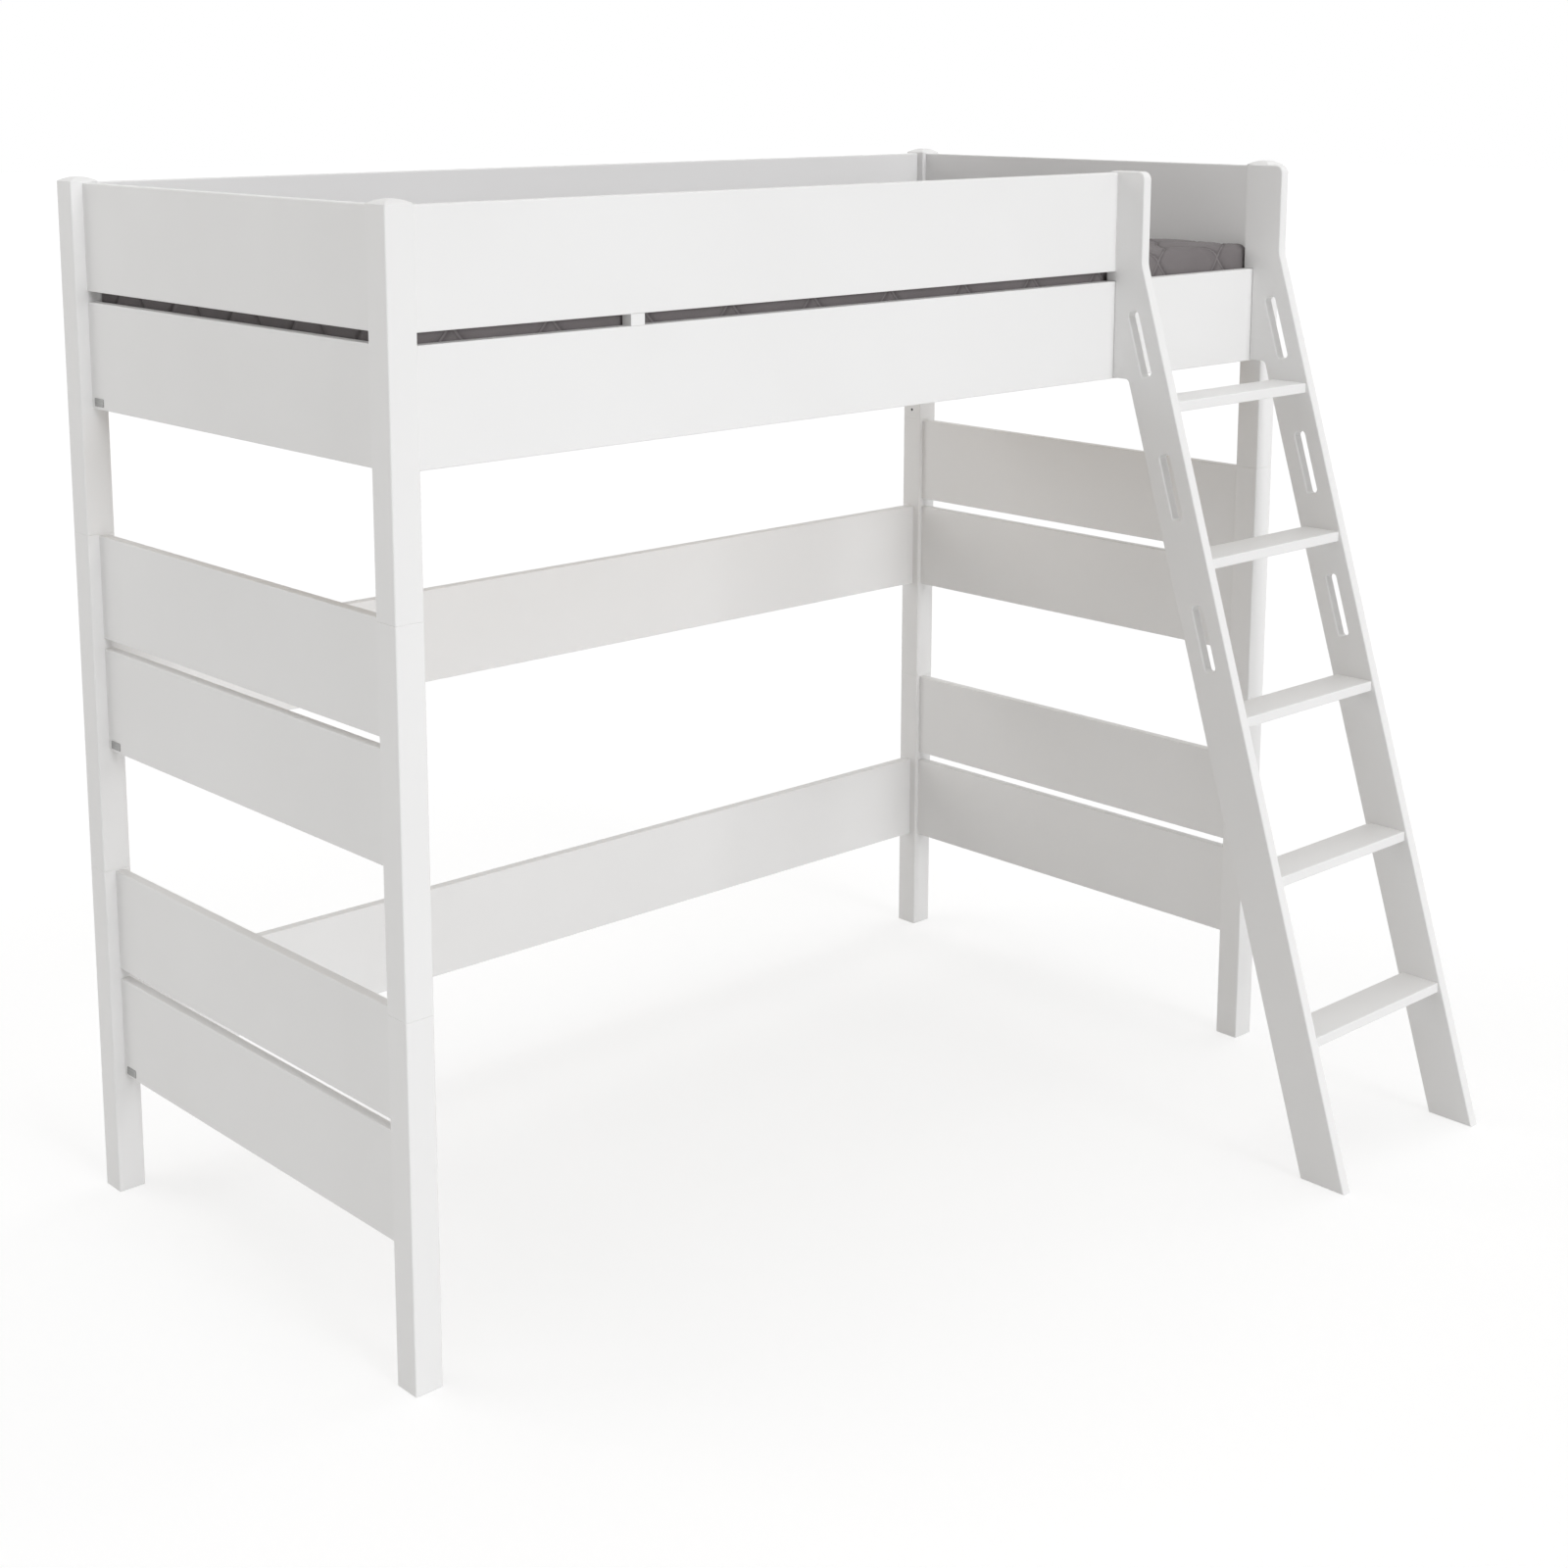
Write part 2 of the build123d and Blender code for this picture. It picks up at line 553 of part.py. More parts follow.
def mattress_section(inset, height):
    """Outline of the mattress at a height: rounded corners joined by sides that draw in a little."""
    half_x = MATTRESS_LENGTH / 2 - inset
    half_y = MATTRESS_WIDTH / 2 - inset
    corner = mattress_corner()
    straight_x = half_x - corner
    straight_y = half_y - corner
    bow = corner * sqrt(0.5)
    edges = []
    for sx, sy in ((1, 1), (-1, 1), (-1, -1), (1, -1)):
        side_point = (sx * half_x, sy * straight_y)
        end_point = (sx * straight_x, sy * half_y)
        mid_point = (sx * (straight_x + bow), sy * (straight_y + bow))
        edges.append(ThreePointArc(side_point, mid_point, end_point))
    for sign in (1, -1):
        draw_x = sign * (half_x - MATTRESS_SIDE_DRAW)
        draw_y = sign * (half_y - MATTRESS_SIDE_DRAW)
        edges.append(ThreePointArc((-straight_x, sign * half_y), (0, draw_y), (straight_x, sign * half_y)))
        edges.append(ThreePointArc((sign * half_x, -straight_y), (draw_x, 0), (sign * half_x, straight_y)))
    middle_y = (rail_inner_y + back_rail_inner_y) / 2
    outline = Face(Wire(edges))
    return Pos(0, middle_y, slat_top + SOFT_GAP + height) * outline


seam_top = MATTRESS_THICKNESS - MATTRESS_CROWN
nodes["mattress"] = loft(
    [
        mattress_section(MATTRESS_SEAM_INSET, 0),
        mattress_section(MATTRESS_ROUND_INSET, MATTRESS_ROUND_HEIGHT),
        mattress_section(0, seam_top / 2),
        mattress_section(MATTRESS_ROUND_INSET, seam_top - MATTRESS_ROUND_HEIGHT),
        mattress_section(MATTRESS_SEAM_INSET, seam_top),
        mattress_section(MATTRESS_SEAM_INSET + MATTRESS_CROWN_RUN, MATTRESS_THICKNESS),
    ],
    ruled=True,
)

# Bare plates near the back post on the left end's lower boards
plates = []
plate_y = outer_y("back", POST + PLATE_FROM_POST + PLATE_WIDTH / 2)
for foot in segment_feet:
    plate_z = foot + BOARD_FOOT + PLATE_FROM_EDGE + PLATE_HEIGHT / 2
    face = Plane(origin=(outer_x("left", END_RECESS), plate_y, plate_z), x_dir=(0, 1, 0), z_dir=(-1, 0, 0))
    plates.append(extrude(face * RectangleRounded(PLATE_WIDTH, PLATE_HEIGHT, PLATE_CORNER), PLATE))
nodes["corner_plates"] = Compound(children=plates)

os.makedirs("parts", exist_ok=True)
for name, shape in nodes.items():
    export_step(shape, f"parts/{name}.step")
print(len(nodes), "nodes")
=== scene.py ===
import json
from math import pi, radians, sin, sqrt

import bpy
import numpy as np
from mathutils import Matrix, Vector

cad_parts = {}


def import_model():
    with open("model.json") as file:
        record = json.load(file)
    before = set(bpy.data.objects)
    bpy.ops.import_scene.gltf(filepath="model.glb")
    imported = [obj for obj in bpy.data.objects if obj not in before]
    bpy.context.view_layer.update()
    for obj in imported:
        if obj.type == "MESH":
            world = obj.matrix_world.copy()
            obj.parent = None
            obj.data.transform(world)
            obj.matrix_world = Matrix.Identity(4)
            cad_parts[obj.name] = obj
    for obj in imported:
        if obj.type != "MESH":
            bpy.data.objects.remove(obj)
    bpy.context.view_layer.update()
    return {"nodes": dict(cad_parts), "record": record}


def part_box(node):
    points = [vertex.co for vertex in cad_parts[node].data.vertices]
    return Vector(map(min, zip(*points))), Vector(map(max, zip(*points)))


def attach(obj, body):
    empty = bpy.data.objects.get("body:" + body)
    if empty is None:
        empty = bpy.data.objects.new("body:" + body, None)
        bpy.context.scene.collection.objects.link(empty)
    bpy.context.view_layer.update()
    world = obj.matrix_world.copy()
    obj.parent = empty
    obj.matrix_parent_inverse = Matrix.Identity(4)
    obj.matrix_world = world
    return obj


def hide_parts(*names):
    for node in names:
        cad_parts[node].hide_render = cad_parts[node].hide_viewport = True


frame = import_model()

# Loft bed with a slanted ladder. The CAD nodes keep their shapes and get materials here; the mattress and the
# webbing under the slats are modelled anew. Lengths are in metres, in the frame of the CAD: +X runs along the
# bed to the ladder end, -Y to the front, and Z = 0 is the floor.

# Camera, fitted to the photograph's 1600 x 1600 frame
CAMERA_PLACE = (-2.9346, -3.0301, 1.9796)
CAMERA_YAW = 42.4465            # degrees from +Y towards +X
CAMERA_PITCH = 10.1988          # degrees below the horizon
CAMERA_LENS = 55.6127           # mm
CAMERA_SENSOR = 36.0            # mm
CAMERA_SHIFT = (0.01823, -0.18)

# Light: where each lamp stands (degrees round from the front to the left, degrees up), how wide it looks
# (degrees), its share of the light that shows a colour as written, and its tint
LAMPS = {
    "front": (1.0, 12.0, 18.0, 0.43, (0.97, 0.98, 1.0)),
    "top": (0.0, 89.0, 60.0, 0.27, (1.0, 1.0, 1.0)),
    "back": (140.0, 20.0, 45.0, 0.21, (1.0, 0.99, 0.975)),
    "right": (-90.0, 25.0, 45.0, 0.14, (1.0, 0.99, 0.975)),
}
AMBIENT = 0.4                   # the world's share of that light
AMBIENT_TINT = (1.0, 0.992, 0.978)
WHITE = (1.0, 1.0, 1.0)
BLACK = (0.0, 0.0, 0.0)

# Floor
FLOOR_DROP = 0.0004             # keeps the floor off the feet's end faces
FLOOR_HALF = 40.0
FLOOR_SHADOW = 0.5              # share of the shadows that the camera sees
FLOOR_NEAR = 1.3                # so far from the middle; from there on they fade
FLOOR_FAR = 4.0                 # and the floor is plain white from here
FLOOR_COLOUR = 0.82

# Colours: the two that a material varies between, and those of the quilting: its thread, and the painted
# shade beside the sewn lines
LACQUER_TONES = ((0.822, 0.818, 0.812), (0.846, 0.843, 0.838))
SLAT_TONES = ((0.79, 0.65, 0.47), (0.62, 0.46, 0.30))
DOWEL_TONES = ((0.70, 0.53, 0.35), (0.54, 0.38, 0.22))
STEEL_TONES = ((0.60, 0.61, 0.63), (0.46, 0.47, 0.49))
DARK_STEEL_TONES = ((0.14, 0.14, 0.15), (0.07, 0.07, 0.075))
PLATE_TONES = ((0.42, 0.42, 0.415), (0.31, 0.31, 0.305))
WEBBING_TONES = ((0.60, 0.58, 0.53), (0.74, 0.72, 0.67))
COVER_TONES = ((0.158, 0.141, 0.143), (0.206, 0.188, 0.190))
# painted shade: the dark tone that the cover is drawn in beside the sewn lines, where the grooves' shade
# falls
PAINTED_SHADE_TONE = (0.085, 0.075, 0.076)
THREAD_TONE = (0.222, 0.203, 0.205)

# Marks in the materials: how finely they repeat along X, Y and Z
SLAT_GRAIN = (26.0, 1.7, 26.0)
LEDGE_GRAIN = (1.7, 26.0, 26.0)
DOWEL_GRAIN = (90.0, 90.0, 90.0)
STEEL_GRAIN = (300.0, 300.0, 300.0)
DARK_STEEL_GRAIN = (400.0, 400.0, 400.0)
PLATE_GRAIN = (60.0, 60.0, 2600.0)

# Shares and heights in the materials
PORE_SHARE = 0.4                # of the wood's grain is pores, the rest wide bands
BOARD_TONES = 0.14              # how far boards in a row differ
METAL_SPREAD = 0.16             # how far a metal's roughness varies
YARN_SHARE = 0.5                # of the cover's mottle is yarn, the rest soft clouds
STITCH_RELIEF = 1.5             # height of a stitch, in loops of the knit
PAINTED_SHADE_STRENGTH = 0.55              # share of the painted shade's tone right beside the thread

# Quilting of the mattress cover
QUILT_PITCH = 0.181             # from crossing to crossing along a side
QUILT_ORIGIN = (-0.1864, -0.1928)  # one crossing, on the cover laid flat
QUILT_WAVE = 0.0045             # how far the sewn lines swing from straight
QUILT_TURN = 4 * pi / QUILT_PITCH  # two swings to a pitch
THREAD_HALF = 0.0021            # half the width of the sewn thread
THREAD_FADE = 0.6               # share of that from where its edge fades
STITCH_LENGTH = 0.0032          # from stitch to stitch
STITCH_GAP = STITCH_LENGTH / 4
GROOVE_DEPTH = 0.0032
GROOVE_SOFT = 0.0036            # how far from a sewn line the groove takes to rise
PAINTED_SHADE_REACH = 0.0075           # how far from a sewn line the painted shade reaches
SWELL_MOST = 0.0015             # how far the padding may swell between the lines
SWELL_FRAMES = 4                # of the cloth simulation, in a full one

# Form of the mattress
MATTRESS_ROUND = 0.015          # top and bottom edges
MATTRESS_CORNER = 0.016         # upright corners; not less than the edges
MATTRESS_CROWN = 0.004
MATTRESS_CROWN_RUN = 0.19       # how far in from the edge the crown rises
MATTRESS_DRAW = 0.0025          # how far the sides draw in between the corners
MATTRESS_BULGE = 0.003          # how far the sides stand out at half height
POST_CLEARANCE = 0.0015         # between the cover and the posts' inner edges

# Mesh of the cover
COVER_STEP = QUILT_PITCH / 26
CLOSEST_ROWS = COVER_STEP / 3   # rows nearer than this to an edge are left out
ON_LINE = COVER_STEP / 20       # a corner this near to a sewn line lies on it
HELD = COVER_STEP / 4           # and this near, the seam holds it
LATTICE_REACH = 400             # steps each way, more than the cover's length
LATTICE_ROUNDS = 30             # until its places no longer change
SIDE_HALVES = 3                 # rows that are halved where the sides leave the top
SPARE_ROWS = 2                  # left out at the bottom, so that every side has as many rows
TINY = 1e-9

# Slats, and the webbing that spaces them
SLAT_PITCH = 0.146              # from slat to slat, to the millimetre
SLATS_APART = 0.05              # less than the space between two slats, more than any within one
PLACE_DIGITS = 5                # decimals of a metre by which two places are told apart
STRAP_SAG = 0.0025              # how far a strap hangs between two slats
STRAP_STEPS = 10                # between two slats
STRAP_HEM = 0.024               # how far its ends are turned under
STRAP_FOLD = 0.0012             # over which the turned layer ends
STRAP_PROFILE = [               # half widths across and thicknesses down, round its section
    (-1.0, 0.5), (-0.95, 0.1), (-0.84, 0.0), (0.0, 0.08), (0.84, 0.0), (0.95, 0.1),
    (1.0, 0.5), (0.95, 0.9), (0.84, 1.0), (0.0, 0.92), (-0.84, 1.0), (-0.95, 0.9),
]
STAPLE_HALF = 0.0045            # half the length of a staple's crown
STAPLE_BEND = 0.0003            # over which its ends turn up
STAPLE_WIDTH = 0.0011
STAPLE_THICKNESS = 0.0006
STAPLE_SINK = 0.0002            # how far its crown is pressed into the strap
STAPLE_APART = 0.007            # from the strap's middle line


def put(tree, kind, inputs=None, **settings):
    """Adds a shader node, sets it, and fills its inputs with values or links."""
    made = tree.nodes.new(kind)
    for key, value in settings.items():
        setattr(made, key, value)
    for key, value in (inputs or {}).items():
        if isinstance(value, bpy.types.NodeSocket):
            tree.links.new(value, made.inputs[key])
        else:
            made.inputs[key].default_value = value
    return made


def start_material(name, **constants):
    """New material, its node tree and its shader, with the shader's constant values set."""
    material = bpy.data.materials.new(name)
    material.use_nodes = True
    shader = material.node_tree.nodes["Principled BSDF"]
    for key, value in constants.items():
        shader.inputs[key.replace("_", " ")].default_value = value
    return material, material.node_tree, shader


def surface(tree, shader, colour, roughness):
    """Links a colour and a roughness to a shader."""
    tree.links.new(colour, shader.inputs["Base Color"])
    tree.links.new(roughness, shader.inputs["Roughness"])


def place(tree, stretch=(1.0, 1.0, 1.0)):
    """The object's own coordinates in metres, stretched along its axes."""
    coordinates = put(tree, "ShaderNodeTexCoord").outputs["Object"]
    return put(tree, "ShaderNodeMapping", {"Vector": coordinates, "Scale": stretch}).outputs["Vector"]


def clouds(tree, vector, scale, detail=2.0, roughness=0.5):
    """Soft noise between 0 and 1."""
    inputs = {"Vector": vector, "Scale": scale, "Detail": detail, "Roughness": roughness}
    return put(tree, "ShaderNodeTexNoise", inputs).outputs[0]


def ribs(tree, direction, inputs):
    """Even waves between 0 and 1 along one direction."""
    return put(tree, "ShaderNodeTexWave", inputs, bands_direction=direction).outputs[1]


def span(tree, value, low, high, start=0.3, end=0.7, easing="LINEAR"):
    """A value between start and end, where most noise lies, mapped to a span and held within it."""
    inputs = {"Value": value, "From Min": start, "From Max": end, "To Min": low, "To Max": high}
    return put(tree, "ShaderNodeMapRange", inputs, interpolation_type=easing).outputs["Result"]


def tint(tree, factor, first, second):
    """Colour between two colours, each a link or three numbers."""
    mixed = put(tree, "ShaderNodeMix", {"Factor": factor}, data_type="RGBA")
    for socket, colour in zip([s for s in mixed.inputs if s.type == "RGBA"], (first, second)):
        if isinstance(colour, bpy.types.NodeSocket):
            tree.links.new(colour, socket)
        else:
            socket.default_value = (*colour, 1.0)
    return next(s for s in mixed.outputs if s.type == "RGBA")


def maths(tree, operation, first, second=0.0, third=0.0):
    """One arithmetic node."""
    made = put(tree, "ShaderNodeMath", operation=operation)
    for socket, value in zip(made.inputs, (first, second, third)):
        if isinstance(value, bpy.types.NodeSocket):
            tree.links.new(value, socket)
        else:
            socket.default_value = value
    return made.outputs[0]


def bump(tree, shader, height, strength, distance, under=None):
    """Relief on a shader, over another relief if one is given."""
    inputs = {"Height": height, "Strength": strength, "Distance": distance}
    if under is not None:
        inputs["Normal"] = under
    relief = put(tree, "ShaderNodeBump", inputs).outputs["Normal"]
    tree.links.new(relief, shader.inputs["Normal"])
    return relief


def lacquer():
    """White satin lacquer: sprayed, very slightly uneven in tone and sheen, with a fine orange peel."""
    material, tree, shader = start_material("white_lacquer", Specular_IOR_Level=0.3)
    where = place(tree)
    tone = span(tree, clouds(tree, where, scale=2.3, detail=3.0), low=0.0, high=1.0)
    sheen = span(tree, clouds(tree, where, scale=21.0, detail=4.0), low=0.46, high=0.58)
    surface(tree, shader, tint(tree, tone, *LACQUER_TONES), sheen)
    waves = bump(tree, shader, clouds(tree, where, scale=34.0), strength=0.10, distance=0.0004)
    bump(tree, shader, clouds(tree, where, scale=620.0), strength=0.06, distance=0.0002, under=waves)
    return material


def board_lot(tree, width):
    """A number between 0 and 1 for each board in a row along X."""
    plain = put(tree, "ShaderNodeTexCoord").outputs["Object"]
    along = put(tree, "ShaderNodeSeparateXYZ", {"Vector": plain}).outputs["X"]
    number = maths(tree, "FLOOR", maths(tree, "DIVIDE", along, width))
    return put(tree, "ShaderNodeTexWhiteNoise", {"W": number}, noise_dimensions="1D").outputs["Value"]


def wood(name, tones, stretch, board_width=None):
    """Planed wood, its grain along the axis that is stretched least; boards in a row differ in tone."""
    material, tree, shader = start_material(name)
    where = place(tree, stretch)
    bands = clouds(tree, where, scale=1.0, detail=4.0, roughness=0.6)
    pores = clouds(tree, where, scale=6.0, detail=5.0, roughness=0.7)
    grain = maths(tree, "MULTIPLY_ADD", pores, PORE_SHARE, maths(tree, "MULTIPLY", bands, 1 - PORE_SHARE))
    if board_width:
        grain = maths(tree, "MULTIPLY_ADD", board_lot(tree, board_width), BOARD_TONES, grain)
    tone = span(tree, grain, low=0.0, high=1.0, start=0.38, end=0.78)
    surface(tree, shader, tint(tree, tone, *tones), span(tree, pores, low=0.48, high=0.66))
    bump(tree, shader, grain, strength=0.25, distance=0.0006)
    return material


def metal(name, tones, stretch, roughness):
    """Metal with fine marks along the axes that are stretched less, or in all directions alike."""
    material, tree, shader = start_material(name, Metallic=1.0)
    marks = clouds(tree, place(tree, stretch), scale=1.0, detail=3.0)
    tone = span(tree, marks, low=0.0, high=1.0)
    sheen = span(tree, marks, low=roughness, high=roughness + METAL_SPREAD)
    surface(tree, shader, tint(tree, tone, *tones), sheen)
    bump(tree, shader, marks, strength=0.12, distance=0.0001)
    return material


def webbing():
    """Flat woven strap: ribs across it, crossed by slanted threads."""
    material, tree, shader = start_material("strap_webbing", Sheen_Weight=0.15)
    inputs = {"Vector": place(tree), "Scale": 210.0, "Distortion": 0.4}
    weave = maths(tree, "MULTIPLY", ribs(tree, "X", inputs), ribs(tree, "DIAGONAL", inputs))
    surface(tree, shader, tint(tree, weave, *WEBBING_TONES), span(tree, weave, low=0.78, high=0.92))
    bump(tree, shader, weave, strength=0.5, distance=0.0005)
    return material


def sewn_lines(tree, flat):
    """On the cover laid flat: distance to the nearest sewn line, a mask of its thread, and its stitches."""
    parts = put(tree, "ShaderNodeSeparateXYZ", {"Vector": flat})
    u = maths(tree, "SUBTRACT", parts.outputs["X"], QUILT_ORIGIN[0])
    v = maths(tree, "SUBTRACT", parts.outputs["Y"], QUILT_ORIGIN[1])
    swing = maths(tree, "SINE", maths(tree, "MULTIPLY", v, QUILT_TURN))
    run = maths(tree, "MULTIPLY_ADD", swing, -QUILT_WAVE, v)
    gaps = []
    for joined in ("SUBTRACT", "ADD"):
        offset = maths(tree, joined, u, run)
        nearest = maths(tree, "WRAP", offset, QUILT_PITCH / 2, -QUILT_PITCH / 2)
        gaps.append(maths(tree, "DIVIDE", maths(tree, "ABSOLUTE", nearest), sqrt(2)))
    gap = maths(tree, "MINIMUM", *gaps)
    thread = span(tree, gap, low=1.0, high=0.0, start=THREAD_HALF * THREAD_FADE, end=THREAD_HALF)
    along = maths(tree, "PINGPONG", v, STITCH_LENGTH / 2)
    dashes = maths(tree, "GREATER_THAN", along, STITCH_GAP / 2)
    return gap, thread, maths(tree, "MULTIPLY", thread, dashes)


def knitted_cover(name, sewn):
    """Knitted cover of mottled taupe yarn; where it is sewn, a pale thread sinks along the lines, with
    painted shade beside them.
    """
    material, tree, shader = start_material(name, Sheen_Weight=0.06, Sheen_Roughness=0.6)
    flat = put(tree, "ShaderNodeUVMap", uv_map="cover").outputs["UV"]
    yarn = clouds(tree, flat, scale=420.0)
    cloud = clouds(tree, flat, scale=9.0, detail=3.0)
    mottle = maths(tree, "MULTIPLY_ADD", cloud, 1 - YARN_SHARE, maths(tree, "MULTIPLY", yarn, YARN_SHARE))
    cloth = tint(tree, span(tree, mottle, low=0.0, high=1.0), *COVER_TONES)
    inputs = {"Vector": flat, "Scale": 330.0, "Distortion": 0.6, "Detail": 1.0}
    relief = maths(tree, "MULTIPLY", ribs(tree, "DIAGONAL", inputs), ribs(tree, "X", inputs))
    if sewn:
        gap, thread, stitches = sewn_lines(tree, flat)
        # painted shade: the cloth is drawn darker beside each sewn line, standing in for the shade in its
        # groove
        shade = span(tree, gap, low=PAINTED_SHADE_STRENGTH, high=0.0, start=THREAD_HALF, end=PAINTED_SHADE_REACH)
        cloth = tint(tree, shade, cloth, PAINTED_SHADE_TONE)
        cloth = tint(tree, thread, cloth, THREAD_TONE)
        relief = maths(tree, "MULTIPLY_ADD", stitches, STITCH_RELIEF, relief)
    surface(tree, shader, cloth, span(tree, yarn, low=0.80, high=0.95))
    bump(tree, shader, relief, strength=0.5, distance=0.0007)
    return material


def quilt_run(v):
    """Straightens the swing of the sewn lines: places across the cover, as the lines' lattice counts them."""
    along = v - QUILT_ORIGIN[1]
    return along - QUILT_WAVE * np.sin(QUILT_TURN * along)


def quilt_gaps(u, v):
    """Distance of places on the cover, laid flat, to the nearest sewn line of each of the two families."""
    across = u - QUILT_ORIGIN[0]
    run = quilt_run(v)
    gaps = []
    for offset in (across - run, across + run):
        gaps.append(np.abs((offset / QUILT_PITCH + 0.5) % 1.0 - 0.5) * QUILT_PITCH / sqrt(2))
    return gaps


def lattice():
    """Places along x and y, on the cover laid flat, whose rows carry the sewn lines from corner to corner."""
    steps = np.arange(-LATTICE_REACH, LATTICE_REACH + 1) * COVER_STEP
    along = steps.copy()
    for _ in range(LATTICE_ROUNDS):
        along = steps + QUILT_WAVE * np.sin(QUILT_TURN * along)
    return steps + QUILT_ORIGIN[0], along + QUILT_ORIGIN[1]


def stations(low, high, places):
    """Rows across the top: both edges, the lattice between them, and halves of it near the edges."""
    inside = places[(places > low + CLOSEST_ROWS) & (places < high - CLOSEST_ROWS)]
    rows = np.concatenate([[low], inside, [high]])
    halves = (rows[1:] + rows[:-1]) / 2
    near = np.minimum(halves - low, high - halves) < MATTRESS_ROUND + COVER_STEP
    return np.sort(np.concatenate([rows, halves[near]]))


def side_rows(edge, outward, places, height):
    """Depths of the rows down one side, from its top edge on, with the lattice folded over that edge."""
    down = np.sort((places - edge) * outward)
    count = int(height / COVER_STEP) - SPARE_ROWS
    inside = down[down > CLOSEST_ROWS][:count]
    rows = np.concatenate([[0.0], inside, [height]])
    halves = (rows[1:] + rows[:-1]) / 2
    return np.sort(np.concatenate([rows, halves[:SIDE_HALVES]]))


def box_surface(last_x, last_y, last_z):
    """Grid over the top and sides of a box: index triples, faces, and a fan of faces that closes it below."""
    index = {}
    faces = []

    def corner(i, j, k):
        return index.setdefault((i, j, k), len(index))

    for i in range(last_x):
        for j in range(last_y):
            faces.append([corner(*at, last_z) for at in ((i, j), (i + 1, j), (i + 1, j + 1), (i, j + 1))])
    rim = [(i, 0) for i in range(last_x)]
    rim += [(last_x, j) for j in range(last_y)]
    rim += [(i, last_y) for i in range(last_x, 0, -1)]
    rim += [(0, j) for j in range(last_y, 0, -1)]
    for k in range(last_z):
        for here, there in zip(rim, rim[1:] + rim[:1]):
            faces.append([corner(*here, k), corner(*there, k), corner(*there, k + 1), corner(*here, k + 1)])
    middle = corner(last_x // 2, last_y // 2, 0)
    below = [[corner(*there, 0), corner(*here, 0), middle] for here, there in zip(rim, rim[1:] + rim[:1])]
    return np.array(list(index)), faces, below


def folded_cover(low, high, centre, height):
    """The cover as a grid folded over a block: x, y, depth down the sides, places laid flat, and faces."""
    x_lattice, y_lattice = lattice()
    xs = stations(low.x, high.x, x_lattice)
    ys = stations(low.y, high.y, y_lattice)
    depths_x = [side_rows(low.x, -1, x_lattice, height), side_rows(high.x, 1, x_lattice, height)]
    depths_y = [side_rows(low.y, -1, y_lattice, height), side_rows(high.y, 1, y_lattice, height)]
    last_z = len(depths_x[0]) - 1
    triples, faces, below = box_surface(len(xs) - 1, len(ys) - 1, last_z)
    x = xs[triples[:, 0]]
    y = ys[triples[:, 1]]
    row = last_z - triples[:, 2]

    # each side has its own rows, which meet halfway at the corners
    at_x = np.isin(triples[:, 0], (0, len(xs) - 1))
    at_y = np.isin(triples[:, 1], (0, len(ys) - 1))
    depth_x = np.where(x < centre.x, depths_x[0][row], depths_x[1][row])
    depth_y = np.where(y < centre.y, depths_y[0][row], depths_y[1][row])
    depth = np.where(at_x & at_y, (depth_x + depth_y) / 2, np.where(at_x, depth_x, depth_y))

    # laid flat, the sides fold out from the top
    flat_u = x + np.where(at_x, np.sign(x - centre.x) * depth, 0.0)
    flat_v = y + np.where(at_y, np.sign(y - centre.y) * depth, 0.0)
    return x, y, depth, np.stack([flat_u, flat_v], axis=1), faces, below


def split_along(faces, on_line):
    """Splits each face of four corners in two along a sewn line that crosses it from corner to corner."""
    made = []
    for face in faces:
        if on_line[face[0]] and on_line[face[2]]:
            made += [[face[0], face[1], face[2]], [face[0], face[2], face[3]]]
        elif on_line[face[1]] and on_line[face[3]]:
            made += [[face[0], face[1], face[3]], [face[1], face[2], face[3]]]
        else:
            made.append(face)
    return made


def rounded_plan(x, y, half_x, half_y):
    """Moves a rectangle's places to one with rounded corners; also their depth inside it, and the way out."""
    radius = MATTRESS_CORNER
    inner_x = half_x - radius
    inner_y = half_y - radius
    past_x = np.clip((np.abs(x) - inner_x) / radius, 0.0, 1.0)
    past_y = np.clip((np.abs(y) - inner_y) / radius, 0.0, 1.0)
    in_corner = (past_x > 0) & (past_y > 0)
    round_x = np.sign(x) * (inner_x + radius * past_x * np.sqrt(1 - past_y**2 / 2))
    round_y = np.sign(y) * (inner_y + radius * past_y * np.sqrt(1 - past_x**2 / 2))
    x = np.where(in_corner, round_x, x)
    y = np.where(in_corner, round_y, y)
    over_x = np.maximum(np.abs(x) - inner_x, 0.0)
    over_y = np.maximum(np.abs(y) - inner_y, 0.0)
    reach = np.hypot(over_x, over_y)
    to_inner = np.minimum(inner_x - np.abs(x), inner_y - np.abs(y))
    inside = np.maximum(radius - np.where(reach > 0, reach, -to_inner), 0.0)
    safe = np.maximum(reach, TINY)
    return x, y, inside, np.sign(x) * over_x / safe, np.sign(y) * over_y / safe


